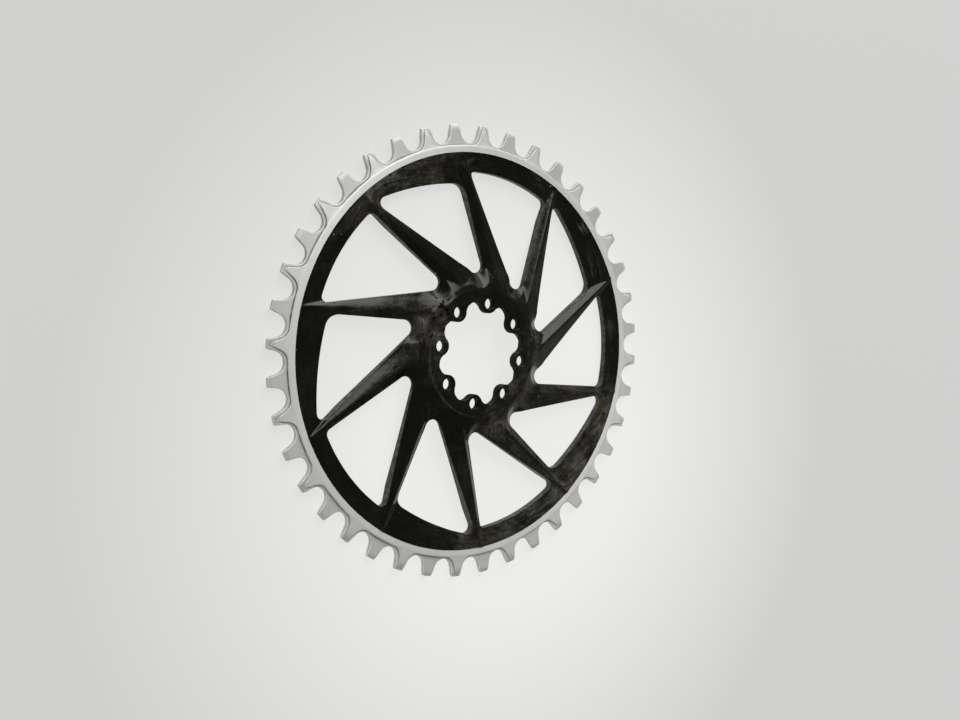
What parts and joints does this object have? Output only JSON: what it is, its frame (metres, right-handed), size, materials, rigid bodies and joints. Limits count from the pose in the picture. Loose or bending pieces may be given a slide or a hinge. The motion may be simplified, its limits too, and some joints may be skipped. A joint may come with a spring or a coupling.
{
  "type": "bicycle chainring",
  "caption": "Single bicycle chainring: a narrow-wide aluminium tooth ring on a black moulded composite spider with swept ridged spokes and a lobed, bolted hub.",
  "frame": {"origin": "on the ring's axis, in the plane that the back of the tooth ring rests on", "axes": "+Z along the axis, out of the proud front of the hub; +X through the middle of a narrow tooth"},
  "size_m": [0.1676, 0.1676, 0.0104],
  "materials": {
    "machined_aluminium": "satin machined and bead blasted, brighter along its edges",
    "moulded_composite": "semi-gloss moulded chopped fibre, mottled with grey and brown streaks"
  },
  "bodies": {
    "root": {"tooth_ring": "machined_aluminium", "composite_spider": "moulded_composite"}
  },
  "joints": []
}
